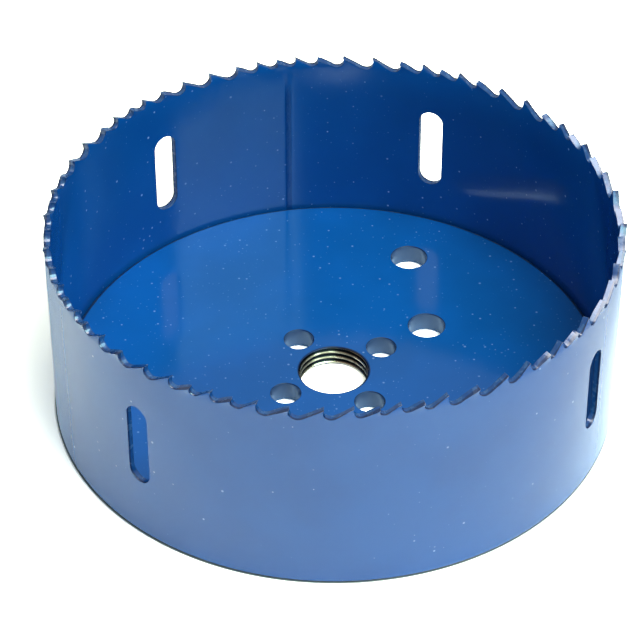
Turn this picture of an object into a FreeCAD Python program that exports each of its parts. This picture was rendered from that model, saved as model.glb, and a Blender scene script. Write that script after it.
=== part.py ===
"""Hole saw, 121 mm cut: a toothed and slotted band welded round a thick back plate.

Frame: +Z up along the axis of rotation, origin at the centre of the back face. The saw stands on
its back with the teeth up. Angles are measured from +X towards +Y, seen from the tooth side.
All sizes are millimetres and degrees.
"""
import FreeCAD, Part
import math
import os

import Sketcher

Vector = FreeCAD.Vector
Z_AXIS = Vector(0, 0, 1)
ORIGIN = Vector(0, 0, 0)

# Driving dimensions, one spreadsheet row each
SIZES = (
    ("band_diameter", 120.2, "outside of the rolled band below the teeth"),
    ("band_thickness", 1.4, "strip that the band is rolled from"),
    ("saw_height", 45.6, "back face to tooth tips"),
    ("band_foot_break", 0.5, "bevel round the band's outer bottom edge"),
    ("plate_thickness", 4.6, "back plate, flush with the foot of the band"),
    ("plate_rim_break", 0.4, "bevel round the plate's top and bottom rim, the weld groove"),
    ("slot_width", 5.5, "chip slots punched in the strip, with full round ends"),
    ("slot_bottom", 14.1, "lowest point of a slot above the back face"),
    ("slot_length", 19.7, "end to end"),
    ("slot_angle_1", 68.3, "right of the weld seam"),
    ("slot_angle_2", 130.0, "left of the weld seam"),
    ("slot_angle_3", 229.6, "near side, left"),
    ("slot_angle_4", 331.6, "near side, right"),
    ("arbor_bore", 14.6, "crests of the 5/8-18 thread in the middle of the plate"),
    ("arbor_break", 0.2, "bevel at both mouths of the threaded hole"),
    ("pin_hole", 6.4, "holes for the arbor's drive pins"),
    ("pin_circle", 25.7, "pitch circle of the drive pin holes"),
    ("pin_count", 4, "drive pin holes"),
    ("pin_angle", 36.7, "direction of the first drive pin hole"),
    ("knockout_hole", 8.0, "two holes that let a rod push out the cut disc"),
    ("knockout_radius_1", 25.4, "inner knockout hole, in line with a drive pin hole"),
    ("knockout_radius_2", 42.9, "outer knockout hole"),
    ("knockout_turn", 30.0, "angle between the two knockout holes"),
    ("hole_break", 0.25, "rounded-over mouths of the punched holes"),
    ("pitch_1", 6.69, "tip to tip along the band, first of the seven unequal pitches"),
    ("pitch_2", 6.41, "tip to tip"),
    ("pitch_3", 5.05, "tip to tip"),
    ("pitch_4", 4.49, "tip to tip"),
    ("pitch_5", 4.28, "tip to tip, the finest"),
    ("pitch_6", 4.96, "tip to tip"),
    ("pitch_7", 5.89, "tip to tip, back to the next straight tooth"),
    ("first_tip_angle", 124.2, "direction of one straight tooth's tip"),
    ("rake_angle", 28.0, "hook of the tooth's front at its tip, from the axis"),
    ("relief_angle", 29.5, "fall of the tooth's back, from level"),
    ("tooth_set", 0.4, "how far a set tooth's tip leans out or in"),
    ("bend_clearance", 0.05, "bend line above the bottom of the shallowest gullet"),
    ("root_depth", 1.0, "solid strip below the deepest gullet, where the teeth begin"),
)
# Lean of the seven teeth of a group: straight, then outwards and inwards by turns
LEANS = (0, 1, -1, 1, -1, 1, -1)

doc = FreeCAD.newDocument("hole_saw")
sheet = doc.addObject("Spreadsheet::Sheet", "sizes")
for row, (alias, value, meaning) in enumerate(SIZES, start=1):
    sheet.set("A%d" % row, alias)
    sheet.set("B%d" % row, str(value))
    sheet.set("C%d" % row, meaning)
    sheet.setAlias("B%d" % row, alias)
doc.recompute()


def size(alias):
    """Value of one cell of the sheet."""
    return float(getattr(sheet, alias))


def origin_plane(body, role):
    """The body's own origin plane with this role."""
    for feature in body.Origin.OriginFeatures:
        if feature.Role == role:
            return feature
    raise ValueError("no origin plane " + role)


def new_sketch(body, name, role):
    """An empty sketch on one of the body's origin planes."""
    sketch = body.newObject("Sketcher::SketchObject", name)
    sketch.AttachmentSupport = [(origin_plane(body, role), "")]
    sketch.MapMode = "FlatFace"
    return sketch


def add_circle(sketch, diameter, x=None, y=None):
    """A circle bound to expressions: centred on the sketch's origin, or at x, y from it."""
    index = sketch.addGeometry(Part.Circle(Vector(1, 1, 0), Z_AXIS, 5), False)
    if x is None:
        sketch.addConstraint(Sketcher.Constraint("Coincident", index, 3, -1, 1))
    else:
        for kind, place in (("DistanceX", x), ("DistanceY", y)):
            number = sketch.addConstraint(Sketcher.Constraint(kind, -1, 1, index, 3, 1.0))
            sketch.setExpression("Constraints[%d]" % number, place)
    number = sketch.addConstraint(Sketcher.Constraint("Diameter", index, 10.0))
    sketch.setExpression("Constraints[%d]" % number, diameter)


def add_slot(sketch, width, bottom, length):
    """An upright slot with round ends, centred on the sketch's vertical axis."""
    half, low, high = 2.0, 10.0, 20.0
    left = sketch.addGeometry(Part.LineSegment(Vector(-half, low, 0), Vector(-half, high, 0)), False)
    right = sketch.addGeometry(Part.LineSegment(Vector(half, high, 0), Vector(half, low, 0)), False)
    top_circle = Part.Circle(Vector(0, high, 0), Z_AXIS, half)
    top = sketch.addGeometry(Part.ArcOfCircle(top_circle, 0, math.pi), False)
    foot_circle = Part.Circle(Vector(0, low, 0), Z_AXIS, half)
    foot = sketch.addGeometry(Part.ArcOfCircle(foot_circle, math.pi, 2 * math.pi), False)
    for first, first_end, second, second_end in (
        (right, 1, top, 1),
        (top, 2, left, 2),
        (left, 1, foot, 1),
        (foot, 2, right, 2),
    ):
        sketch.addConstraint(Sketcher.Constraint("Tangent", first, first_end, second, second_end))
    sketch.addConstraint(Sketcher.Constraint("Vertical", left))
    for arc in (top, foot):
        sketch.addConstraint(Sketcher.Constraint("PointOnObject", arc, 3, -2))
    radius = sketch.addConstraint(Sketcher.Constraint("Radius", foot, half))
    sketch.setExpression("Constraints[%d]" % radius, "%s / 2" % width)
    low_end = sketch.addConstraint(Sketcher.Constraint("DistanceY", -1, 1, foot, 3, low))
    sketch.setExpression("Constraints[%d]" % low_end, "%s + %s / 2" % (bottom, width))
    spacing = sketch.addConstraint(Sketcher.Constraint("DistanceY", foot, 3, top, 3, high - low))
    sketch.setExpression("Constraints[%d]" % spacing, "%s - %s" % (length, width))


def add_pocket(body, sketch, reversed_way):
    """Cut a sketch right through the solid, and make sure that it did cut."""
    before = body.Shape.Volume
    pocket = body.newObject("PartDesign::Pocket", sketch.Name + "_cut")
    pocket.Profile = sketch
    pocket.Type = 1
    pocket.Reversed = reversed_way
    sketch.Visibility = False
    doc.recompute()
    if body.Shape.Volume >= before:
        raise ValueError(pocket.Name + " cut nothing")
    return pocket


def round_edges(shape, radius, height):
    """Names of the full circular edges of this radius at this height."""
    names = []
    for number, edge in enumerate(shape.Edges, start=1):
        curve = edge.Curve
        if not isinstance(curve, Part.Circle) or not edge.isClosed():
            continue
        if abs(curve.Radius - radius) < 1e-4 and abs(edge.BoundBox.ZMin - height) < 1e-4:
            names.append("Edge%d" % number)
    return names


def add_chamfer(body, name, edges, amount):
    """Bevel the named edges of the body's last feature."""
    tip = body.Tip
    chamfer = body.newObject("PartDesign::Chamfer", name)
    chamfer.Base = (tip, edges)
    chamfer.setExpression("Size", amount)
    doc.recompute()
    return chamfer


# Gullets and teeth, laid out in the plane of the strip


def tooth_angles():
    """Angles taken by the seven pitches, stretched a little so that whole groups close the ring."""
    pitches = [size("pitch_%d" % number) for number in range(1, len(LEANS) + 1)]
    group_length = sum(pitches)
    groups = max(1, round(math.pi * size("band_diameter") / group_length))
    return [360.0 / groups * pitch / group_length for pitch in pitches], groups


def gullet_radius(chord):
    """The one round that touches the back of a tooth and ends at the tip of the next."""
    rake = math.radians(size("rake_angle"))
    relief = math.radians(size("relief_angle"))
    return chord * math.sin(relief) / (1 + math.sin(relief + rake))


def gullet_depth(chord):
    """Tip to gullet bottom for one pitch."""
    return gullet_radius(chord) * (1 + math.sin(math.radians(size("rake_angle"))))


def tip_radius():
    """Reach of an outward tooth's tip from the axis."""
    return size("band_diameter") / 2 + size("tooth_set")


def pitch_chord(angle):
    """Straight distance between two tips that are this angle apart."""
    return 2 * tip_radius() * math.sin(math.radians(angle) / 2)


def gullet_cutter(angle, middle):
    """Radial punch for the gullet between two tips that lie either side of one direction."""
    chord = pitch_chord(angle)
    radius = gullet_radius(chord)
    rake = math.radians(size("rake_angle"))
    relief = math.radians(size("relief_angle"))
    tip_height = size("saw_height")
    inside = size("band_diameter") / 2 - size("band_thickness") - 2 * size("tooth_set")
    reach = tip_radius() + size("tooth_set") - inside

    def at(along, height):
        return Vector(inside, along, height)

    front_tip = at(-chord / 2, tip_height)
    back_tip = at(chord / 2, tip_height)
    centre_along = -chord / 2 + radius * math.cos(rake)
    centre_height = tip_height - radius * math.sin(rake)
    touch_along = centre_along + radius * math.sin(relief)
    touch_height = centre_height - radius * math.cos(relief)
    touch = at(touch_along, touch_height)
    bottom = at(centre_along, centre_height - radius)
    above = Vector(0, 0, size("root_depth"))
    wire = Part.Wire([
        Part.LineSegment(back_tip, touch).toShape(),
        Part.Arc(touch, bottom, front_tip).toShape(),
        Part.LineSegment(front_tip, front_tip + above).toShape(),
        Part.LineSegment(front_tip + above, back_tip + above).toShape(),
        Part.LineSegment(back_tip + above, back_tip).toShape(),
    ])
    cutter = Part.Face(wire).extrude(Vector(reach, 0, 0))
    cutter.rotate(ORIGIN, Z_AXIS, middle)
    return cutter


def tooth_blank(lean, start, sweep, root_height, bend_height):
    """A short arc of the strip, with the part above the bend line leaning out or in."""
    outside = size("band_diameter") / 2
    inside = outside - size("band_thickness")
    shift = lean * size("tooth_set")
    top = size("saw_height")
    profile = Part.makePolygon([
        Vector(inside, 0, root_height),
        Vector(outside, 0, root_height),
        Vector(outside, 0, bend_height),
        Vector(outside + shift, 0, top),
        Vector(inside + shift, 0, top),
        Vector(inside, 0, bend_height),
        Vector(inside, 0, root_height),
    ])
    blank = Part.Face(profile).revolve(ORIGIN, Z_AXIS, sweep)
    blank.rotate(ORIGIN, Z_AXIS, start)
    return blank


def crown_heights():
    """Where the crown starts, and the bend line of the set teeth."""
    depths = [gullet_depth(pitch_chord(angle)) for angle in tooth_angles()[0]]
    top = size("saw_height")
    return top - max(depths) - size("root_depth"), top - min(depths) + size("bend_clearance")


def tooth_group():
    """Seven teeth, cut between the gullet bottoms on either side of them."""
    angles, groups = tooth_angles()
    root_height, bend_height = crown_heights()
    rake = math.radians(size("rake_angle"))
    tips = [size("first_tip_angle")]
    for angle in angles:
        tips.append(tips[-1] - angle)
    middles = [(tips[i] + tips[i + 1]) / 2 for i in range(len(angles))]
    bottoms = []
    for angle, middle in zip(angles, middles):
        chord = pitch_chord(angle)
        along = gullet_radius(chord) * math.cos(rake) - chord / 2
        bottoms.append(middle + math.degrees(along / tip_radius()))
    group_angle = 360.0 / groups
    bottoms.insert(0, bottoms[-1] + group_angle)
    blanks = [
        tooth_blank(lean, bottoms[i + 1], bottoms[i] - bottoms[i + 1], root_height, bend_height)
        for i, lean in enumerate(LEANS)
    ]
    cutters = [gullet_cutter(angles[-1], middles[-1] + group_angle)]
    cutters += [gullet_cutter(angle, middle) for angle, middle in zip(angles, middles)]
    return blanks[0].multiFuse(blanks[1:]).cut(cutters)


def tooth_crown():
    """Every group of teeth round the ring, one solid."""
    group = tooth_group()
    groups = tooth_angles()[1]
    copies = []
    for number in range(groups):
        copy = group.copy()
        copy.rotate(ORIGIN, Z_AXIS, number * 360.0 / groups)
        copies.append(copy)
    return copies[0].multiFuse(copies[1:]).removeSplitter() if groups > 1 else group


def build_saw_band():
    """Strip rolled to a ring and butt welded, with punched slots and a crown of set teeth."""
    body = doc.addObject("PartDesign::Body", "band_blank")
    ring = new_sketch(body, "band_ring", "XY_Plane")
    add_circle(ring, "sizes.band_diameter")
    add_circle(ring, "sizes.band_diameter - 2 * sizes.band_thickness")
    wall = body.newObject("PartDesign::Pad", "band_wall")
    wall.Profile = ring
    wall.Length = crown_heights()[0]
    doc.recompute()

    outer = size("band_diameter") / 2
    add_chamfer(body, "band_foot", round_edges(body.Shape, outer, 0.0), "sizes.band_foot_break")

    for number in range(1, 5):
        sketch = new_sketch(body, "slot_%d" % number, "YZ_Plane")
        sketch.AttachmentOffset = FreeCAD.Placement(ORIGIN, FreeCAD.Rotation(Vector(0, 1, 0), 1))
        sketch.setExpression("AttachmentOffset.Rotation.Angle", "sizes.slot_angle_%d" % number)
        add_slot(sketch, "sizes.slot_width", "sizes.slot_bottom", "sizes.slot_length")
        add_pocket(body, sketch, True)

    crown = doc.addObject("Part::Feature", "tooth_crown")
    crown.Shape = tooth_crown()

    band = doc.addObject("Part::MultiFuse", "saw_band")
    band.Label = "saw_band"
    band.Shapes = [body, crown]
    band.Refine = True
    band.Placement = FreeCAD.Placement()
    doc.recompute()
    return band


def build_back_plate():
    """Thick disc that fits inside the foot of the band and takes the arbor."""
    body = doc.addObject("PartDesign::Body", "back_plate")
    body.Label = "back_plate"
    disc = new_sketch(body, "plate_disc", "XY_Plane")
    add_circle(disc, "sizes.band_diameter - 2 * sizes.band_thickness")
    pad = body.newObject("PartDesign::Pad", "plate_body")
    pad.Profile = disc
    pad.setExpression("Length", "sizes.plate_thickness")
    doc.recompute()

    arbor = new_sketch(body, "arbor_hole", "XY_Plane")
    add_circle(arbor, "sizes.arbor_bore")
    add_pocket(body, arbor, True)

    pin = new_sketch(body, "drive_pin_hole", "XY_Plane")
    pin_x = "sizes.pin_circle / 2 * cos(sizes.pin_angle * 1 deg)"
    pin_y = "sizes.pin_circle / 2 * sin(sizes.pin_angle * 1 deg)"
    add_circle(pin, "sizes.pin_hole", pin_x, pin_y)
    pocket = add_pocket(body, pin, True)
    pattern = body.newObject("PartDesign::PolarPattern", "drive_pin_holes")
    pattern.Originals = [pocket]
    pattern.Axis = (pin, ["N_Axis"])
    pattern.Angle = 360
    pattern.setExpression("Occurrences", "sizes.pin_count")
    body.Tip = pattern
    doc.recompute()

    for number, turn in ((1, "0"), (2, "sizes.knockout_turn")):
        knockout = new_sketch(body, "knockout_hole_%d" % number, "XY_Plane")
        radius = "sizes.knockout_radius_%d" % number
        direction = "(sizes.pin_angle + %s) * 1 deg" % turn
        x = "%s * cos(%s)" % (radius, direction)
        y = "%s * sin(%s)" % (radius, direction)
        add_circle(knockout, "sizes.knockout_hole", x, y)
        add_pocket(body, knockout, True)

    faces = (0.0, size("plate_thickness"))
    for name, radius, amount in (
        ("plate_rim", size("band_diameter") / 2 - size("band_thickness"), "sizes.plate_rim_break"),
        ("arbor_mouths", size("arbor_bore") / 2, "sizes.arbor_break"),
        ("pin_mouths", size("pin_hole") / 2, "sizes.hole_break"),
        ("knockout_mouths", size("knockout_hole") / 2, "sizes.hole_break"),
    ):
        edges = [edge for height in faces for edge in round_edges(body.Shape, radius, height)]
        add_chamfer(body, name, edges, amount)
    body.Placement = FreeCAD.Placement()
    doc.recompute()
    return body


def check(parts):
    """Stop on a failed feature or an unsound solid before anything is written."""
    for item in doc.Objects:
        if "Invalid" in item.State or "Error" in item.State:
            raise ValueError(item.Name + " failed: " + ", ".join(item.State))
    for part in parts:
        shape = part.Shape
        if shape.isNull() or not shape.isValid() or len(shape.Solids) != 1:
            raise ValueError(part.Label + " is not one sound solid")


parts = [build_saw_band(), build_back_plate()]
doc.recompute()
check(parts)
os.makedirs("parts", exist_ok=True)
for part in parts:
    part.Shape.exportStep("parts/%s.step" % part.Label)
    print(part.Label, "volume", round(part.Shape.Volume, 1), "faces", len(part.Shape.Faces))
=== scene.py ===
"""The looks of a 121 mm bi-metal hole saw that stands on its back plate, teeth up.

The saw is made of two pieces, as the real one is: a toothed steel strip that is rolled to a ring
and butt welded, and a thick back plate inside its foot. Both wear one coat of glossy blue enamel,
and only the thread of the arbor hole is bare. Sizes are in millimetres and angles in degrees up to
the point where they reach Blender. The lamps, the camera's place and the whole sweep are metres.
"""
import math

import bmesh
import bpy
from mathutils import Matrix, Vector


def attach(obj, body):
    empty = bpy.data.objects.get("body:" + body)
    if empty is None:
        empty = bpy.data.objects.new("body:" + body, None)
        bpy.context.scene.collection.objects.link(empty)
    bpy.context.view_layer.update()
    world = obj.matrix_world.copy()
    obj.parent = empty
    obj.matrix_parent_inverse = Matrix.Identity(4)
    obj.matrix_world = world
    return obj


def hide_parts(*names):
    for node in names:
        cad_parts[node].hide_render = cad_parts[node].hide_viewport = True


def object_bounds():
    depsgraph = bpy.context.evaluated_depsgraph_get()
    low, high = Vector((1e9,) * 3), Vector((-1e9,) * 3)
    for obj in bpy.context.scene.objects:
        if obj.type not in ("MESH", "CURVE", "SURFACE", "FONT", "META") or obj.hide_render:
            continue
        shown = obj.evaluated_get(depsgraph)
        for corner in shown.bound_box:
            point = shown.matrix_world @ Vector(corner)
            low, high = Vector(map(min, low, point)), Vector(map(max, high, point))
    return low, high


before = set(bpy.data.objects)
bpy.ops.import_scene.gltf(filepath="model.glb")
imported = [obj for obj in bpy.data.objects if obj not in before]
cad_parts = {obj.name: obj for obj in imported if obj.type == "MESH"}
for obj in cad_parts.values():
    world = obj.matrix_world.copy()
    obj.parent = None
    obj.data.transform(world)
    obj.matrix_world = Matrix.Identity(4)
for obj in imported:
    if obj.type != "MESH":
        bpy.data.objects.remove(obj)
cad_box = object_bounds()

MM = 0.001

# Sizes of the band
BAND_RADIUS = 60.1            # outside of the band
BAND_THICKNESS = 1.4
SAW_HEIGHT = 45.6
MIDDLE_RADIUS = BAND_RADIUS - BAND_THICKNESS / 2
FOOT_BREAK = 0.5              # rounding of the band's lower outer edge
FOOT_TOP = 5.0                # all that is milled or punched lies above this
EDGE_BREAK = 0.16             # rounding that the paint gives to every cut edge

PITCHES = (6.69, 6.41, 5.05, 4.49, 4.28, 4.96, 5.89)
LEANS = (0, 1, -1, 1, -1, 1, -1)      # 1 is set outwards, -1 inwards, 0 is the straight raker
GROUPS = 10
FIRST_TIP = 124.2             # azimuth of a group's first tip
RAKE = 28.0
RELIEF = 29.5
TOOTH_SET = 0.4
BEND_HEIGHT = 43.97           # the teeth lean from here up
ROOT_HEIGHT = 42.0            # the strip is plain below this
ROOT_SHIFT = 2.0              # how far the mesh's lines slant under each hook
SLOPE_STEPS = 4               # points down the back of a tooth
ARC_STEPS = 10                # points round a gullet
TOOTH_ROWS = 4                # rows of faces in the teeth
BODY_HEIGHTS = (37.0, 30.0, 22.0, 14.0, 7.0, 4.4, 0.0)

SLOT_WIDTH = 5.5
SLOT_BOTTOM = 14.1
SLOT_LENGTH = 19.7
SLOT_ANGLES = (68.3, 130.0, 229.6, 331.6)
SLOT_ROUNDING = 0.13
SLOT_SIDES = 40               # a multiple of 4

SEAM_ANGLE = 100.2            # the butt weld
SEAM_PEAK = 0.1               # how far the ring peaks there, and how far along it that fades out
SEAM_PEAK_REACH = 20.0
SEAM_RIDGE = 0.13             # the ground bead inside
SEAM_RIDGE_REACH = 0.95
SEAM_RIDGE_FADE = 5.0         # it fades out over this height below the teeth's roots
SEAM_BEAD = 0.03              # what is left of the bead outside
SEAM_BEAD_REACH = 2.0
WELD_LINE_REACH = (0.5, 0.8)      # half width of the darker line on the ridge: full, and faded out
WELD_LINE_TOP = (36.0, 41.0)      # the heights between which it fades out
WELD_LINE_MARGIN = 0.4            # how far inside the wall the line is looked for

# Sizes of the plate
PLATE_RADIUS = BAND_RADIUS - BAND_THICKNESS
PLATE_THICKNESS = 4.6
PLATE_BREAK = 0.6             # lower edge
PLATE_GROOVE = 0.95           # upper edge, where it leaves a groove along the band
PLATE_SIDES = 256
HOLE_ROUNDING = 0.28
PIN_RADIUS = 3.2
PIN_CIRCLE = 25.7
PIN_ANGLE = 36.7
KNOCKOUT_RADIUS = 4.0
KNOCKOUTS = ((25.4, 36.7), (42.9, 66.7))      # distance from the axis, azimuth
THREAD_CREST = 7.3            # radii of the thread and of the bore's mouth
THREAD_ROOT = 7.8
THREAD_MOUTH = 7.6
THREAD_PITCH = 1.411
THREAD_TURNS = 7              # turns of the tap, which starts two turns below the back face
THREAD_SIDES = 96             # sides of the thread and of its mouth
LIP_WIDTH = 0.3               # the bore's worn lip, a shallow cone
LIP_DROP = 0.1

# How a finished face is found: by its place, within NEAR, and by the part of its normal that looks
# straight away from the wall or the plate that it belongs to
NEAR = 0.05
ACROSS = 0.3                  # below this a face crosses the band's wall
UPRIGHT = 0.2                 # below this a face of the plate is the wall of a hole
FLAT = 0.9                    # above this a face near the bore is the plate's own surface
SQUARE = 0.97                 # below this a face is a rounded edge

# Sizes of the patterns in the finishes, as the width of one mark
CLOUD = 22.2                  # slow change in how deep the enamel looks
WAVE = 16.7                   # lazy waves of the sheet below it
PEEL = 1.54                   # orange peel
DUST = (2.0, 0.38)            # spacing and size of a speck, as large as the photograph shows it
FINE_DUST = (1.2, 0.24)
DUST_OUTSIDE = 0.2            # the outer wall's share of the dust
SCALE_CRUMB = 0.625           # crumbs of scale on the weld
OXIDE = 2.38                  # patches of oxide on the sharp edges
TIP_WEAR = (0.1, 0.5)         # depths below the tips: bare steel to the first, paint from the next
MILLING = 1.43                # clouds on the milled faces, with a cutter's grain down to 0.18
OUTER_DARK = (0.4, 0.6)             # depths below the outer wall: dark to the first, plain from the next
TOOL_MARK = 1.11              # length of a tool mark in the thread
TOOL_MARK_FLATNESS = 9.0      # its length over its height
THREAD_SHADE = (0.05, 0.26)   # depths below the crests: bare to the first, black from the next
OIL = 3.85                    # patches in the film of oil


# Modelling helpers
def deselect():
    if bpy.context.object and bpy.context.object.mode == "EDIT":
        bpy.ops.object.mode_set(mode="OBJECT")
    bpy.ops.object.select_all(action="DESELECT")


def select_only(obj):
    deselect()
    obj.select_set(True)
    bpy.context.view_layer.objects.active = obj


def new_piece(name):
    """Names the primitive that was added last and leaves it in edit mode."""
    obj = bpy.context.object
    obj.name = obj.data.name = name
    bpy.ops.object.mode_set(mode="EDIT")
    return obj


def pick(obj, kind, test):
    """Selects the verts, edges or faces that pass the test, in edit mode, and nothing else."""
    bpy.ops.mesh.select_mode(type={"verts": "VERT", "edges": "EDGE", "faces": "FACE"}[kind])
    bpy.ops.mesh.select_all(action="DESELECT")
    mesh = bmesh.from_edit_mesh(obj.data)
    for element in getattr(mesh, kind):
        if test(element):
            element.select_set(True)
    mesh.select_flush_mode()
    bmesh.update_edit_mesh(obj.data)


def apply_modifier(obj, kind, **settings):
    select_only(obj)
    modifier = obj.modifiers.new(kind.title(), kind)
    for key, value in settings.items():
        setattr(modifier, key, value)
    bpy.ops.object.modifier_apply(modifier=modifier.name)


def cut(obj, cutters):
    """Takes each cutter out of the piece and deletes it."""
    for cutter in cutters:
        apply_modifier(obj, "BOOLEAN", operation="DIFFERENCE", solver="EXACT", object=cutter)
        select_only(cutter)
        bpy.ops.object.delete()


def clean_normals(obj, merge=1e-7):
    """Merges points that lie within that many metres and turns every face outwards."""
    select_only(obj)
    bpy.ops.object.mode_set(mode="EDIT")
    bpy.ops.mesh.select_all(action="SELECT")
    bpy.ops.mesh.remove_doubles(threshold=merge)
    bpy.ops.mesh.normals_make_consistent(inside=False)
    bpy.ops.object.mode_set(mode="OBJECT")


def finish_shading(obj, angle=35.0):
    """Shades edges smooth up to that angle, with flat faces left flat to the eye."""
    select_only(obj)
    bpy.ops.object.shade_smooth_by_angle(angle=math.radians(angle))
    apply_modifier(obj, "WEIGHTED_NORMAL", mode="FACE_AREA", keep_sharp=True)


def polar(radius, azimuth):
    turn = math.radians(azimuth)
    return radius * math.cos(turn), radius * math.sin(turn)


def mouth_steps(radius, rounding, half_depth):
    """(height, radius) of a cutter that rounds the mouth of its hole on both faces, and stands over
    them by 0.6 mm."""
    over = 0.6
    steps = [(-half_depth - over, radius + rounding)]
    for side in (-1, 1):
        turns = (0, 22.5, 45, 67.5, 90)
        for turn in turns if side < 0 else reversed(turns):
            turn = math.radians(turn)
            depth = rounding * (1 - math.cos(turn))
            steps.append((side * (half_depth - depth), radius + rounding * (1 - math.sin(turn))))
    steps.append((half_depth + over, radius + rounding))
    return steps


def round_cutter(name, steps, sides=48, turned=0.0):
    """A stack of rings along Z, made by extruding a disc step by step."""
    deselect()
    height, radius = steps[0]
    bpy.ops.mesh.primitive_circle_add(
        vertices=sides, radius=radius * MM, fill_type="NGON", location=(0, 0, height * MM),
        rotation=(0, 0, math.radians(turned)))
    bpy.ops.object.transform_apply(location=True, rotation=True, scale=True)
    obj = new_piece(name)
    bpy.ops.mesh.select_all(action="SELECT")
    for next_height, next_radius in steps[1:]:
        bpy.ops.mesh.extrude_region_move(
            TRANSFORM_OT_translate={"value": (0, 0, (next_height - height) * MM)})
        grow = next_radius / radius
        bpy.ops.transform.resize(value=(grow, grow, 1), center_override=(0, 0, next_height * MM))
        height, radius = next_height, next_radius
    bpy.ops.object.mode_set(mode="OBJECT")
    clean_normals(obj)
    return obj


# Materials
def colour(code, alpha=1.0):
    """An sRGB hex colour as the linear values that Blender works with."""
    parts = [int(code[i:i + 2], 16) / 255 for i in (1, 3, 5)]
    return [p / 12.92 if p <= 0.04045 else ((p + 0.055) / 1.055) ** 2.4 for p in parts] + [alpha]


def scale_of(size):
    """A pattern's scale, from the real width of one of its marks."""
    return 1 / (size * MM)


def add_node(tree, kind, inputs=(), **settings):
    """Adds a node. inputs pairs a socket's name or number with a value, with a node, which is read
    at its first output, or with one chosen output of a node."""
    node = tree.nodes.new(kind)
    for key, value in settings.items():
        setattr(node, key, value)
    for key, value in dict(inputs).items():
        if isinstance(value, bpy.types.Node):
            value = value.outputs[0]
        if isinstance(value, bpy.types.NodeSocket):
            tree.links.new(value, node.inputs[key])
        else:
            node.inputs[key].default_value = value
    return node


def new_material(name):
    material = bpy.data.materials.new(name)
    material.use_nodes = True
    material.node_tree.nodes.clear()
    return material, material.node_tree


def specks(tree, place, spacing, size, share):
    """Grains of dust: a soft dot, of uneven size and strength, in some cells of a Voronoi pattern.
    A dot fades out at the distance size from its middle, and the smallest ones at 0.45 of it. The
    faintest have a quarter of the strength. Share is from 0 to 1."""
    cells = add_node(tree, "ShaderNodeTexVoronoi",
                     {"Vector": place, "Scale": scale_of(spacing), "Randomness": 1.0})
    chance = add_node(tree, "ShaderNodeSeparateColor", {0: cells.outputs["Color"]})
    edge = add_node(tree, "ShaderNodeMapRange",
                    {"Value": chance.outputs[1], "To Min": 0.45 * size / spacing,
                     "To Max": size / spacing})
    near = add_node(tree, "ShaderNodeMath", {0: cells.outputs["Distance"], 1: edge},
                    operation="DIVIDE")
    dot = add_node(tree, "ShaderNodeMapRange", {"Value": near, "From Min": 1.0, "From Max": 0.3},
                   interpolation_type="SMOOTHSTEP")
    strength = add_node(tree, "ShaderNodeMapRange", {"Value": chance.outputs[2], "To Min": 0.25})
    chosen = add_node(tree, "ShaderNodeMath", {0: chance, 1: share}, operation="LESS_THAN")
    grain = add_node(tree, "ShaderNodeMath", {0: dot, 1: strength}, operation="MULTIPLY")
    return add_node(tree, "ShaderNodeMath", {0: grain, 1: chosen}, operation="MULTIPLY")


def axis_distance(tree, place):
    """How far a point is from the saw's axis."""
    flat = add_node(tree, "ShaderNodeVectorMath", {0: place, 1: (1.0, 1.0, 0.0)},
                    operation="MULTIPLY")
    return add_node(tree, "ShaderNodeVectorMath", {0: flat}, operation="LENGTH").outputs["Value"]


def weld_line(tree, place):
    """1 along the butt weld inside the band, up to where it was dressed for the teeth, and 0
    elsewhere."""
    turn = math.radians(SEAM_ANGLE)
    across = add_node(tree, "ShaderNodeVectorMath",
                      {0: place, 1: (-math.sin(turn), math.cos(turn), 0.0)},
                      operation="DOT_PRODUCT").outputs["Value"]
    reach = add_node(tree, "ShaderNodeVectorMath",
                     {0: place, 1: (math.cos(turn), math.sin(turn), 0.0)},
                     operation="DOT_PRODUCT").outputs["Value"]
    away = add_node(tree, "ShaderNodeMath", {0: across}, operation="ABSOLUTE")
    line = add_node(tree, "ShaderNodeMapRange",
                    {"Value": away, "From Min": WELD_LINE_REACH[1] * MM,
                     "From Max": WELD_LINE_REACH[0] * MM}, interpolation_type="SMOOTHSTEP")
    inside = add_node(tree, "ShaderNodeMath", {0: reach, 1: (PLATE_RADIUS - WELD_LINE_MARGIN) * MM},
                      operation="GREATER_THAN")
    skin = add_node(tree, "ShaderNodeMath", {0: reach, 1: MIDDLE_RADIUS * MM},
                    operation="LESS_THAN")
    height = add_node(tree, "ShaderNodeSeparateXYZ", {0: place}).outputs["Z"]
    dressed = add_node(tree, "ShaderNodeMapRange",
                       {"Value": height, "From Min": WELD_LINE_TOP[1] * MM,
                        "From Max": WELD_LINE_TOP[0] * MM}, interpolation_type="SMOOTHSTEP")
    for limit in (inside, dressed, skin):
        line = add_node(tree, "ShaderNodeMath", {0: line, 1: limit}, operation="MULTIPLY")
    return line


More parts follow.
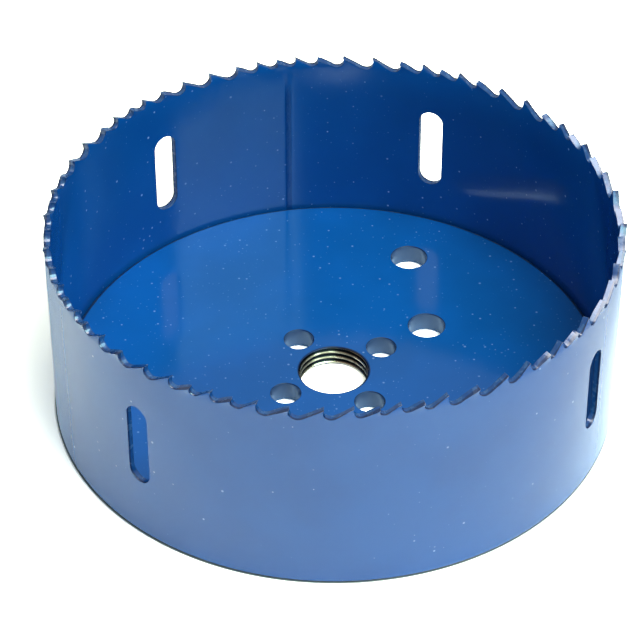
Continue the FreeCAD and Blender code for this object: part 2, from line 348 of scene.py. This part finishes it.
def enamel(name, deep, bright, dust):
    """Sprayed and stoved blue enamel on sheet steel: deep colour under a wet gloss, with a slight
    orange peel, a lazy waviness from the sheet, and pale dust caught in the coat, most of it inside
    the saw, where it had longer to settle. Over the butt weld it is scaly, and its colour is
    darkened along a line inside the band."""
    material, tree = new_material(name)
    place = add_node(tree, "ShaderNodeTexCoord").outputs["Object"]
    clouds = add_node(tree, "ShaderNodeTexNoise",
                      {"Vector": place, "Scale": scale_of(CLOUD), "Detail": 3.0})
    depth = add_node(tree, "ShaderNodeMapRange",
                     {"Value": clouds, "From Min": 0.35, "From Max": 0.65},
                     interpolation_type="SMOOTHSTEP")
    paint = add_node(tree, "ShaderNodeMix", {0: depth, 6: colour(deep), 7: colour(bright)},
                     data_type="RGBA").outputs[2]
    share = add_node(tree, "ShaderNodeMapRange",
                     {"Value": axis_distance(tree, place), "From Min": MIDDLE_RADIUS * MM,
                      "From Max": (MIDDLE_RADIUS + 0.3) * MM, "To Min": dust,
                      "To Max": DUST_OUTSIDE * dust})
    grains = specks(tree, place, *DUST, share)
    fine = specks(tree, place, *FINE_DUST, share)
    faint = add_node(tree, "ShaderNodeMath", {0: fine, 1: 0.5}, operation="MULTIPLY")
    weld = weld_line(tree, place)
    # The colour is darkened along the weld line inside the band.
    weld_dark = add_node(tree, "ShaderNodeMath", {0: weld, 1: 0.5}, operation="MULTIPLY")
    for amount, code in ((faint, "#5FA0DE"), (weld_dark, "#03306A"), (grains, "#8FC4F0")):
        paint = add_node(tree, "ShaderNodeMix", {0: amount, 6: paint, 7: colour(code)},
                         data_type="RGBA").outputs[2]

    wave = add_node(tree, "ShaderNodeTexNoise",
                    {"Vector": place, "Scale": scale_of(WAVE), "Detail": 1.0})
    peel = add_node(tree, "ShaderNodeTexNoise",
                    {"Vector": place, "Scale": scale_of(PEEL), "Detail": 1.0})
    crumbs = add_node(tree, "ShaderNodeTexNoise",
                      {"Vector": place, "Scale": scale_of(SCALE_CRUMB), "Detail": 2.0})
    crumbs = add_node(tree, "ShaderNodeMath", {0: crumbs, 1: weld}, operation="MULTIPLY")
    relief = {}
    for pattern, strength, height in ((wave, 1.0, 0.04), (peel, 1.0, 0.006),
                                      (grains, 0.6, 0.03), (crumbs, 1.0, 0.15)):
        relief["Normal"] = add_node(tree, "ShaderNodeBump",
                                    {"Height": pattern, "Strength": strength,
                                     "Distance": height * MM, **relief})
    shader = add_node(tree, "ShaderNodeBsdfPrincipled",
                      {"Base Color": paint, "Roughness": 0.13, "IOR": 1.52, **relief})
    add_node(tree, "ShaderNodeOutputMaterial", {"Surface": shader})
    return material


def starved_enamel(name):
    """The same enamel where it has pulled back from a sharp edge: a thin, dark and duller coat with
    the steel's oxide showing through in patches, and grey steel at the very tips of the teeth. On
    the plate the same dark coat is painted shade, in the groove along the band, round the mouths of
    the holes and on the bore's lip."""
    material, tree = new_material(name)
    place = add_node(tree, "ShaderNodeTexCoord").outputs["Object"]
    patches = add_node(tree, "ShaderNodeTexNoise",
                       {"Vector": place, "Scale": scale_of(OXIDE), "Detail": 3.0})
    rust = add_node(tree, "ShaderNodeMapRange",
                    {"Value": patches, "From Min": 0.48, "From Max": 0.66},
                    interpolation_type="SMOOTHSTEP")
    coat = add_node(tree, "ShaderNodeMix", {0: rust, 6: colour("#10305C"), 7: colour("#2A3D57")},
                    data_type="RGBA").outputs[2]
    height = add_node(tree, "ShaderNodeSeparateXYZ", {0: place}).outputs["Z"]
    tip = add_node(tree, "ShaderNodeMapRange",
                   {"Value": height, "From Min": (SAW_HEIGHT - TIP_WEAR[1]) * MM,
                    "From Max": (SAW_HEIGHT - TIP_WEAR[0]) * MM})
    coat = add_node(tree, "ShaderNodeMix", {0: tip, 6: coat, 7: colour("#7B858C")},
                    data_type="RGBA").outputs[2]
    shader = add_node(tree, "ShaderNodeBsdfPrincipled",
                      {"Base Color": coat, "Roughness": 0.4, "IOR": 1.45,
                       "Specular IOR Level": 0.3})
    add_node(tree, "ShaderNodeOutputMaterial", {"Surface": shader})
    return material


def milled_enamel(name):
    """Milled and punched faces under a thin coat: slate blue, with the bright cut steel so close
    below that a lamp overhead turns it silver. It is cloudy, with a fine grain from the cutter, and
    darker along the outer wall."""
    material, tree = new_material(name)
    place = add_node(tree, "ShaderNodeTexCoord").outputs["Object"]
    patches = add_node(tree, "ShaderNodeTexNoise",
                       {"Vector": place, "Scale": scale_of(MILLING), "Detail": 3.0})
    worn = add_node(tree, "ShaderNodeMapRange",
                    {"Value": patches, "From Min": 0.35, "From Max": 0.65},
                    interpolation_type="SMOOTHSTEP")
    coat = add_node(tree, "ShaderNodeMix", {0: worn, 6: colour("#134A8A"), 7: colour("#2C5F94")},
                    data_type="RGBA").outputs[2]
    # Darker towards the outer wall.
    outer_dark = add_node(tree, "ShaderNodeMapRange",
                    {"Value": axis_distance(tree, place),
                     "From Min": (BAND_RADIUS - OUTER_DARK[1]) * MM,
                     "From Max": (BAND_RADIUS - OUTER_DARK[0]) * MM})
    coat = add_node(tree, "ShaderNodeMix", {0: outer_dark, 6: coat, 7: colour("#16335E")},
                    data_type="RGBA").outputs[2]
    dull = add_node(tree, "ShaderNodeMapRange", {"Value": worn, "To Min": 0.14, "To Max": 0.3})
    grain = add_node(tree, "ShaderNodeBump",
                     {"Height": patches, "Strength": 1.0, "Distance": 0.03 * MM})
    shader = add_node(tree, "ShaderNodeBsdfPrincipled",
                      {"Base Color": coat, "Roughness": dull, "IOR": 1.65, "Normal": grain})
    add_node(tree, "ShaderNodeOutputMaterial", {"Surface": shader})
    return material


def tapped_steel(name):
    """Bare tapped steel: flanks with fine circular tool marks, darkened in patches by cutting oil
    that has stayed in the thread, black at the roots, where painted shade joins the oil, and brassy
    where the crests catch the light."""
    material, tree = new_material(name)
    place = add_node(tree, "ShaderNodeTexCoord").outputs["Object"]
    stretched = add_node(tree, "ShaderNodeMapping",
                         {"Vector": place, "Scale": (1.0, 1.0, TOOL_MARK_FLATNESS)})
    marks = add_node(tree, "ShaderNodeTexNoise",
                     {"Vector": stretched, "Scale": scale_of(TOOL_MARK), "Detail": 4.0})
    oil = add_node(tree, "ShaderNodeTexNoise",
                   {"Vector": place, "Scale": scale_of(OIL), "Detail": 3.0})
    film = add_node(tree, "ShaderNodeMapRange", {"Value": oil, "From Min": 0.38, "From Max": 0.62},
                    interpolation_type="SMOOTHSTEP")
    steel = add_node(tree, "ShaderNodeMix", {0: film, 6: colour("#C9AF90"), 7: colour("#87725C")},
                     data_type="RGBA").outputs[2]
    # Painted shade: the thread's roots go black, together with the oil caught there.
    groove = add_node(tree, "ShaderNodeMapRange",
                      {"Value": axis_distance(tree, place),
                       "From Min": (THREAD_CREST + THREAD_SHADE[0]) * MM,
                       "From Max": (THREAD_CREST + THREAD_SHADE[1]) * MM},
                      interpolation_type="SMOOTHSTEP")
    steel = add_node(tree, "ShaderNodeMix", {0: groove, 6: steel, 7: colour("#0C0F12")},
                     data_type="RGBA").outputs[2]
    ridges = add_node(tree, "ShaderNodeBump",
                      {"Height": marks, "Strength": 1.0, "Distance": 0.02 * MM})
    dull = add_node(tree, "ShaderNodeMapRange", {"Value": film, "To Min": 0.2, "To Max": 0.42})
    shader = add_node(tree, "ShaderNodeBsdfPrincipled",
                      {"Base Color": steel, "Metallic": 1.0, "Roughness": dull, "Normal": ridges})
    add_node(tree, "ShaderNodeOutputMaterial", {"Surface": shader})
    return material


# The band and the plate wear the same enamel. Their two copies differ slightly, each tuned to the
# light that falls on its piece: lit and shaded copies of one paint, the plate's a little lighter.
band_enamel = enamel("blue enamel on rolled strip", "#08549E", "#0A5AA6", 0.5)
plate_enamel = enamel("blue enamel on turned plate", "#0859A0", "#0A5FAC", 0.7)
# The holes' walls are a lighter, greyer blue than the rest of the enamel: painted reflection of the
# white paper below, seen at a glancing angle.
hole_enamel_painted_reflection = enamel("enamel in the holes with painted reflection", "#42648F", "#486C96", 0.0)
edge_enamel_and_painted_shade = starved_enamel("starved enamel on sharp edges")
cut_enamel = milled_enamel("thin enamel over milled steel")
thread_steel = tapped_steel("bare tapped steel")


# The toothed strip
def tooth_outline(pitch):
    """(distance, height) from one tip down its back and round the gullet up to the next tip."""
    rake, relief = math.radians(RAKE), math.radians(RELIEF)
    radius = pitch * math.sin(relief) / (1 + math.sin(relief + rake))
    centre = pitch - radius * math.cos(rake), -radius * math.sin(rake)
    touch = centre[0] - radius * math.sin(relief), centre[1] - radius * math.cos(relief)
    points = [(touch[0] * i / SLOPE_STEPS, touch[1] * i / SLOPE_STEPS) for i in range(SLOPE_STEPS)]
    first, last = 1.5 * math.pi - relief, 2 * math.pi + rake
    for i in range(ARC_STEPS + 1):
        turn = first + (last - first) * i / ARC_STEPS
        points.append((centre[0] + radius * math.cos(turn), centre[1] + radius * math.sin(turn)))
    return points


def toothed_sheet():
    """One group of seven teeth as a thin flat sheet, repeated to the band's whole length."""
    length = 2 * math.pi * MIDDLE_RADIUS
    scale = length / GROUPS / sum(PITCHES)
    steps = SLOPE_STEPS + ARC_STEPS
    columns = []
    start = 0.0
    for tooth, pitch in enumerate(PITCHES):
        pitch *= scale
        outline = tooth_outline(pitch)
        for i, (along, height) in enumerate(outline[:steps]):
            behind = LEANS[tooth]
            ahead = LEANS[(tooth + 1) % len(LEANS)]
            lean = behind if i < steps / 2 else ahead
            root = start + ROOT_SHIFT + pitch * i / steps
            columns.append((start + along, SAW_HEIGHT + height, root, lean))
        start += pitch
    columns.append((start, SAW_HEIGHT, start + ROOT_SHIFT, LEANS[0]))

    deselect()
    bpy.ops.mesh.primitive_grid_add(x_subdivisions=len(columns) - 1,
                                    y_subdivisions=TOOTH_ROWS + len(BODY_HEIGHTS), size=1)
    sheet = bpy.context.object
    sheet.name = sheet.data.name = "saw_band_enamelled"
    points = sorted(sheet.data.vertices, key=lambda v: (round(v.co.y, 5), round(v.co.x, 5)))
    per_row = len(columns)
    for number, vertex in enumerate(points):
        row, column = divmod(number, per_row)
        along, top, root, lean = columns[column]
        if row < len(BODY_HEIGHTS):
            along, height = root, BODY_HEIGHTS[-1 - row]
        else:
            part = (row - len(BODY_HEIGHTS)) / TOOTH_ROWS
            along = root + (along - root) * part
            height = ROOT_HEIGHT + (top - ROOT_HEIGHT) * part
        offset = max(0.0, (height - BEND_HEIGHT) / (SAW_HEIGHT - BEND_HEIGHT)) * TOOTH_SET
        vertex.co = (length / 2 - along) * MM, -lean * offset * MM, height * MM
    apply_modifier(sheet, "ARRAY", count=GROUPS, use_relative_offset=False,
                   use_constant_offset=True,
                   constant_offset_displace=(-length / GROUPS * MM, 0, 0),
                   use_merge_vertices=True, merge_threshold=1e-6)
    return sheet, length


def roll_up(sheet, length):
    """Rolls the flat strip to a ring, as the real one is, and joins its ends."""
    reach = [v.co.x for v in sheet.data.vertices]
    apply_modifier(sheet, "SIMPLE_DEFORM", deform_method="BEND", deform_axis="Z",
                   angle=2 * math.pi * (max(reach) - min(reach)) / (length * MM))
    turn = Matrix.Rotation(math.radians(FIRST_TIP - 90.0), 4, "Z")
    sheet.data.transform(turn @ Matrix.Translation((0, -MIDDLE_RADIUS * MM, 0)))
    clean_normals(sheet, merge=2e-6)


def weld_seam(band):
    """The butt weld: the strip's stiff ends stay a little flat, so the ring peaks outwards there,
    and the ground-down bead leaves a low ridge inside and less of one outside."""
    for vertex in band.data.vertices:
        x, y, z = vertex.co / MM
        radius = math.hypot(x, y)
        turn = math.degrees(math.atan2(y, x)) - SEAM_ANGLE
        along = abs(math.radians((turn + 180) % 360 - 180) * radius)
        moved = SEAM_PEAK * max(0.0, 1 - along / SEAM_PEAK_REACH) ** 2
        if radius < MIDDLE_RADIUS:
            ground = min(1.0, max(0.0, (ROOT_HEIGHT - z) / SEAM_RIDGE_FADE))
            moved -= SEAM_RIDGE * ground * max(0.0, 1 - along / SEAM_RIDGE_REACH)
        else:
            moved += SEAM_BEAD * max(0.0, 1 - along / SEAM_BEAD_REACH)
        grow = 1 + moved / radius
        vertex.co.x *= grow
        vertex.co.y *= grow


def level_tips(band):
    """Grinds the leaning tips level with the straight ones and keeps them inside the CAD's box."""
    for vertex in band.data.vertices:
        vertex.co.y = min(vertex.co.y, cad_box[1][1])
        vertex.co.z = min(vertex.co.z, cad_box[1][2])


def slot_cutters():
    """Obround cutters: a round one pulled apart at its middle, then laid along each slot's axis.
    It starts turned by half a side, so that no point lies on the line where it is pulled apart."""
    cutters = []
    for number, angle in enumerate(SLOT_ANGLES):
        cutter = round_cutter(f"slot_cutter_{number}",
                              mouth_steps(SLOT_WIDTH / 2, SLOT_ROUNDING, BAND_THICKNESS / 2),
                              sides=SLOT_SIDES, turned=180 / SLOT_SIDES)
        select_only(cutter)
        bpy.ops.object.mode_set(mode="EDIT")
        stretch = (SLOT_LENGTH - SLOT_WIDTH) / 2
        for side in (-1, 1):
            pick(cutter, "verts", lambda v: v.co.x * side > 0)
            bpy.ops.transform.translate(value=(side * stretch * MM, 0, 0))
        bpy.ops.object.mode_set(mode="OBJECT")
        upright = Matrix.Rotation(math.radians(-90), 4, "Y")
        place = Matrix.Translation((-MIDDLE_RADIUS * MM, 0, (SLOT_BOTTOM + SLOT_LENGTH / 2) * MM))
        turn = Matrix.Rotation(math.radians(angle + 180), 4, "Z")
        cutter.data.transform(turn @ place @ upright)
        cutters.append(cutter)
    return cutters


def squareness(face):
    """How squarely a face of the band looks away from its wall, inwards or outwards."""
    return abs(face.normal.xy @ face.center.xy.normalized())


def build_band():
    """The strip: toothed, rolled, welded, broken at its edges and punched."""
    band, length = toothed_sheet()
    roll_up(band, length)
    apply_modifier(band, "SOLIDIFY", thickness=BAND_THICKNESS * MM, offset=0.0,
                   use_even_offset=True)
    clean_normals(band)
    weld_seam(band)
    level_tips(band)
    select_only(band)
    bpy.ops.object.mode_set(mode="EDIT")
    pick(band, "edges", lambda e: all(v.co.z < NEAR * MM and v.co.xy.length > MIDDLE_RADIUS * MM
                                      for v in e.verts))
    bpy.ops.mesh.bevel(offset=FOOT_BREAK * MM, segments=3, profile=0.5, affect="EDGES")
    bpy.ops.object.mode_set(mode="OBJECT")

    for material in (band_enamel, edge_enamel_and_painted_shade, cut_enamel):
        band.data.materials.append(material)
    edge_slot, cut_slot = 1, 2
    for face in band.data.polygons:
        if squareness(face) < ACROSS and face.center.z > FOOT_TOP * MM:
            face.material_index = cut_slot
    apply_modifier(band, "BEVEL", width=EDGE_BREAK * MM, segments=2, limit_method="ANGLE",
                   angle_limit=math.radians(50), material=edge_slot)
    cut(band, slot_cutters())
    clean_normals(band)
    for face in band.data.polygons:
        height = face.center.z / MM
        if SLOT_BOTTOM - 1 < height < SLOT_BOTTOM + SLOT_LENGTH + 1:
            if squareness(face) < ACROSS:
                face.material_index = cut_slot
            elif squareness(face) < SQUARE:
                face.material_index = edge_slot
    finish_shading(band)
    return band


# The back plate
def thread_cutter():
    """A tap: one turn's profile, screwed upwards through the plate, with both ends closed."""
    deselect()
    flat = THREAD_PITCH / 8
    flank = (THREAD_PITCH - 2 * flat) / 2
    profile = ((THREAD_CREST, 0.0), (THREAD_CREST, flat), (THREAD_ROOT, flat + flank),
               (THREAD_ROOT, 2 * flat + flank), (THREAD_CREST, THREAD_PITCH))
    low = -2.0 * THREAD_PITCH
    bpy.ops.mesh.primitive_grid_add(x_subdivisions=len(profile) - 1, y_subdivisions=1, size=1)
    tap = new_piece("thread_cutter")
    pick(tap, "verts", lambda v: v.co.y > 0)
    bpy.ops.mesh.delete(type="VERT")
    bpy.ops.object.mode_set(mode="OBJECT")
    line = sorted(tap.data.vertices, key=lambda v: v.co.x)
    for vertex, (radius, height) in zip(line, profile):
        vertex.co = radius * MM, 0, (low + height) * MM
    apply_modifier(tap, "SCREW", angle=2 * math.pi, steps=THREAD_SIDES,
                   render_steps=THREAD_SIDES, axis="Z", screw_offset=THREAD_PITCH * MM,
                   iterations=THREAD_TURNS, use_merge_vertices=True, merge_threshold=1e-7,
                   use_smooth_shade=False)
    select_only(tap)
    bpy.ops.object.mode_set(mode="EDIT")
    bpy.ops.mesh.select_all(action="SELECT")
    bpy.ops.mesh.remove_doubles(threshold=1e-6)
    for test in (lambda e: e.is_boundary and max(v.co.z for v in e.verts) < 0,
                 lambda e: e.is_boundary and max(v.co.z for v in e.verts) > 0):
        pick(tap, "edges", test)
        bpy.ops.mesh.extrude_region_move()
        bpy.ops.transform.resize(value=(0, 0, 1), center_override=(0, 0, 0))
        bpy.ops.mesh.merge(type="CENTER")
    bpy.ops.object.mode_set(mode="OBJECT")
    clean_normals(tap)
    return tap


def build_plate():
    """The turned plate: broken at its edges, drilled, countersunk and tapped."""
    half = PLATE_THICKNESS / 2
    deselect()
    bpy.ops.mesh.primitive_cylinder_add(vertices=PLATE_SIDES, radius=PLATE_RADIUS * MM,
                                        depth=PLATE_THICKNESS * MM, location=(0, 0, half * MM))
    bpy.ops.object.transform_apply(location=True, rotation=True, scale=True)
    plate = new_piece("back_plate_enamelled")
    for upper, offset in ((False, PLATE_BREAK), (True, PLATE_GROOVE)):
        pick(plate, "edges", lambda e: all((v.co.z > half * MM) == upper for v in e.verts))
        bpy.ops.mesh.bevel(offset=offset * MM, segments=3, profile=0.5, affect="EDGES")
    bpy.ops.object.mode_set(mode="OBJECT")
    plate.data.materials.append(plate_enamel)

    cutters = []
    holes = [(PIN_RADIUS, PIN_CIRCLE / 2, PIN_ANGLE + 90 * i) for i in range(4)]
    holes += [(KNOCKOUT_RADIUS, reach, turn) for reach, turn in KNOCKOUTS]
    for number, (radius, reach, turn) in enumerate(holes):
        cutter = round_cutter(f"hole_cutter_{number}", mouth_steps(radius, HOLE_ROUNDING, half))
        x, y = polar(reach, turn)
        cutter.data.transform(Matrix.Translation((x * MM, y * MM, half * MM)))
        cutters.append(cutter)
    cut(plate, cutters)
    for material in (thread_steel, hole_enamel_painted_reflection, edge_enamel_and_painted_shade):
        plate.data.materials.append(material)
    thread_slot, hole_slot, edge_slot = 1, 2, 3
    mouth = THREAD_MOUTH - THREAD_CREST
    lip = THREAD_MOUTH + LIP_WIDTH
    under, over = 1.0, 0.5        # how far the countersink starts below the face and ends above it
    countersink = round_cutter("mouth_cutter", [(half - under, THREAD_CREST - 0.5),
                                                (half - mouth - LIP_DROP, THREAD_CREST),
                                                (half - LIP_DROP, THREAD_MOUTH), (half, lip),
                                                (half + over, lip)], sides=THREAD_SIDES)
    countersink.data.transform(Matrix.Translation((0, 0, half * MM)))
    cut(plate, [countersink, thread_cutter()])
    clean_normals(plate)
    # On the plate the dark edge enamel is painted shade: it goes on the plate's rounded edges, and
    # so in the groove along the band, round the mouths of the holes and on the bore's lip.
    # The walls of the holes take the lighter enamel, which is a painted reflection of the paper.
    for face in plate.data.polygons:
        reach = face.center.xy.length / MM
        level = abs(face.normal.z)
        sloping = UPRIGHT <= level < SQUARE
        if abs(reach - lip) < LIP_WIDTH + NEAR and face.center.z > half * MM and sloping:
            face.material_index = edge_slot
        elif reach < THREAD_ROOT + NEAR:
            if level < FLAT:
                face.material_index = thread_slot
        elif reach < PLATE_RADIUS - NEAR and level < UPRIGHT:
            face.material_index = hole_slot
        elif sloping:
            face.material_index = edge_slot
    finish_shading(plate)
    return plate


band = build_band()
plate = build_plate()
for piece, node, finish in ((band, "saw_band", "band_paint"), (plate, "back_plate", "plate_paint")):
    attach(piece, "root")
    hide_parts(node)


# Stage, light and camera
def build_floor():
    """A white paper sweep, overexposed as in the photograph: the eye and the gloss see it brighter
    than it is, and what it throws back at the saw is plain. The eye also finds the thin shade along
    the foot, which the overexposure would hide. From below the paper is clear, and it lets the
    under light through, so that the saw's back can be looked at. The tones are linear, because
    most of them are brighter than white."""
    # In the gloss the paper is brightest in front, dimmer at the right and behind, and dimmer again
    # under the saw: painted light and shade that sets what the saw mirrors.
    in_front = 1.95, 2.25, 2.1, 1.0
    at_right = 1.25, 1.3, 1.25, 1.0
    behind = 0.55, 0.75, 0.95, 1.0
    under_saw = 1.1, 1.6, 1.9, 1.0
    overexposed = 2.8, 2.9, 2.5, 1.0
    shade = 0.14, 0.19, 0.17, 1.0
    shade_lean = 0.0024, 0.0034, 0.0     # puts the ring of shade 0.25 mm to the front left
    gap = 0.05                           # below the saw's foot, so that the two don't coincide

    deselect()
    bpy.ops.mesh.primitive_plane_add(size=8, location=(0, 0, -gap * MM))
    floor = bpy.context.object
    floor.name = "studio_floor"
    material, tree = new_material("white paper sweep")
    path = add_node(tree, "ShaderNodeLightPath")
    place = add_node(tree, "ShaderNodeTexCoord").outputs["Object"]
    spot = add_node(tree, "ShaderNodeSeparateXYZ", {0: place})
    mirrored = in_front
    for axis, start, end, tone in (("X", 50, 140, at_right), ("Y", -15, 60, behind)):
        along = add_node(tree, "ShaderNodeMapRange",
                         {"Value": spot.outputs[axis], "From Min": start * MM,
                          "From Max": end * MM}, interpolation_type="SMOOTHSTEP")
        mirrored = add_node(tree, "ShaderNodeMix", {0: along, 6: mirrored, 7: tone},
                            data_type="RGBA").outputs[2]
    outside = add_node(tree, "ShaderNodeMapRange",
                       {"Value": axis_distance(tree, place), "From Min": 50 * MM,
                        "From Max": 64 * MM})
    mirrored = add_node(tree, "ShaderNodeMix", {0: outside, 6: under_saw, 7: mirrored},
                        data_type="RGBA").outputs[2]
    paint = add_node(tree, "ShaderNodeMix",
                     {0: path.outputs["Is Glossy Ray"], 6: colour("#EAEEEB"), 7: mirrored},
                     data_type="RGBA").outputs[2]

    shift = add_node(tree, "ShaderNodeVectorMath", {0: place, 1: shade_lean},
                     operation="DOT_PRODUCT").outputs["Value"]
    reach = add_node(tree, "ShaderNodeMath", {0: shift, 1: axis_distance(tree, place)},
                     operation="ADD")
    off_foot = add_node(tree, "ShaderNodeMath",
                        {0: reach, 1: (BAND_RADIUS - FOOT_BREAK) * MM}, operation="SUBTRACT")
    off_foot = add_node(tree, "ShaderNodeMath", {0: off_foot}, operation="ABSOLUTE")
    lit = add_node(tree, "ShaderNodeMapRange",
                   {"Value": off_foot, "From Min": 0.35 * MM, "From Max": 1.0 * MM},
                   interpolation_type="SMOOTHSTEP")
    seen = add_node(tree, "ShaderNodeMix", {0: lit, 6: shade, 7: overexposed},
                    data_type="RGBA").outputs[2]
    paint = add_node(tree, "ShaderNodeMix",
                     {0: path.outputs["Is Camera Ray"], 6: paint, 7: seen},
                     data_type="RGBA").outputs[2]
    paper = add_node(tree, "ShaderNodeBsdfDiffuse", {"Color": paint})
    clear = add_node(tree, "ShaderNodeBsdfTransparent")
    below = add_node(tree, "ShaderNodeNewGeometry").outputs["Backfacing"]
    open_to = add_node(tree, "ShaderNodeMath", {0: below, 1: path.outputs["Is Shadow Ray"]},
                       operation="MAXIMUM")
    both = add_node(tree, "ShaderNodeMixShader", {0: open_to, 1: paper, 2: clear})
    add_node(tree, "ShaderNodeOutputMaterial", {"Surface": both})
    floor.data.materials.append(material)


def build_world():
    """White to the eye. The gloss mirrors a grey room, a little dimmer above than where the sweep
    rises, and the paint is lit by a quarter of that."""
    world = bpy.data.worlds.new("studio")
    bpy.context.scene.world = world
    world.use_nodes = True
    tree = world.node_tree
    tree.nodes.clear()
    up = add_node(tree, "ShaderNodeSeparateXYZ",
                  {0: add_node(tree, "ShaderNodeTexCoord").outputs["Generated"]}).outputs["Z"]
    path = add_node(tree, "ShaderNodeLightPath")
    level = add_node(tree, "ShaderNodeMapRange",
                     {"Value": up, "From Min": 0.2, "From Max": 0.6, "To Min": 0.5,
                      "To Max": 0.42}, interpolation_type="SMOOTHSTEP")
    share = add_node(tree, "ShaderNodeMapRange",
                     {"Value": path.outputs["Is Glossy Ray"], "To Min": 0.25, "To Max": 1.0})
    dim = add_node(tree, "ShaderNodeMath", {0: level, 1: share}, operation="MULTIPLY")
    seen = add_node(tree, "ShaderNodeMath", {0: dim, 1: path.outputs["Is Camera Ray"]},
                    operation="MAXIMUM")
    back = add_node(tree, "ShaderNodeBackground", {"Color": colour("#FFFFFF"), "Strength": seen})
    add_node(tree, "ShaderNodeOutputWorld", {"Surface": back})


def add_softbox(name, azimuth, elevation, distance, width, height, radiance,
                tint=(1.0, 1.0, 1.0), in_gloss=True, on_paint=True, only=None):
    """A softbox that faces the saw. Off in the gloss it isn't mirrored, off on the paint it is
    only mirrored, and with only it lights a single piece."""
    data = bpy.data.lights.new(name, "AREA")
    data.shape = "RECTANGLE"
    data.size, data.size_y = width, height
    data.energy = radiance * math.pi * width * height
    data.color = tint
    lamp = bpy.data.objects.new(name, data)
    bpy.context.scene.collection.objects.link(lamp)
    turn, tilt = math.radians(azimuth), math.radians(elevation)
    place = Vector((math.cos(tilt) * math.cos(turn), math.cos(tilt) * math.sin(turn),
                    math.sin(tilt)))
    lamp.location = place * distance
    lamp.rotation_euler = place.to_track_quat("Z", "Y").to_euler()
    lamp.visible_glossy = in_gloss
    lamp.visible_diffuse = on_paint
    if only:
        lit = bpy.data.collections.new(f"lit by {name}")
        lit.objects.link(only)
        lamp.light_linking.receiver_collection = lit


def build_camera():
    """The photograph's own view, from the fit of the rim, the slots and the holes. It looks at the
    saw's origin from the front, and is then turned a little: all in metres and radians, with the
    sensor and the lens in millimetres."""
    distance, elevation = 0.6009, 0.71372
    yaw, pitch, roll = 0.00508, 0.02378, -0.00284
    sensor, lens = 36.0, 155.62
    place = Vector((0, -math.cos(elevation), math.sin(elevation))) * distance
    forward, right = -place.normalized(), Vector((1, 0, 0))
    up = right.cross(forward)
    turn = Matrix.Rotation(yaw, 3, up)
    forward, right = turn @ forward, turn @ right
    turn = Matrix.Rotation(pitch, 3, right)
    forward, up = turn @ forward, turn @ up
    turn = Matrix.Rotation(roll, 3, forward)
    right, up = turn @ right, turn @ up
    data = bpy.data.cameras.new("camera")
    data.sensor_width = sensor
    data.lens = lens
    data.clip_start, data.clip_end = 0.01, 50.0
    camera = bpy.data.objects.new("camera", data)
    bpy.context.scene.collection.objects.link(camera)
    axes = Matrix((right, up, -forward)).transposed().to_4x4()
    camera.matrix_world = Matrix.Translation(place) @ axes
    bpy.context.scene.camera = camera


build_floor()
build_world()
# The window stands in front at the right. The gloss mirrors one lamp for it, and another lights
# the paint. The ceiling has two as well, and only the band mirrors it. The under light is for
# views from below, and the front fill is a low, wide strip that lights the outer wall.
add_softbox("window in the gloss", -46, 51, 1.3, 1.08, 0.86, 11.0, (0.57, 1.0, 1.0),
            on_paint=False)
add_softbox("window light", -36, 57, 1.3, 0.86, 0.86, 6.4, in_gloss=False)
add_softbox("ceiling in the gloss", -60, 88, 1.4, 0.8, 0.8, 10.5, on_paint=False, only=band)
add_softbox("ceiling light", -60, 88, 1.4, 0.7, 0.7, 4.0, in_gloss=False)
add_softbox("under light", -90, -89, 0.6, 0.4, 0.4, 2.0, in_gloss=False)
add_softbox("front fill", -101, 3.5, 1.2, 1.3, 0.12, 8.2, in_gloss=False)
build_camera()
bpy.context.scene.view_settings.view_transform = "Standard"
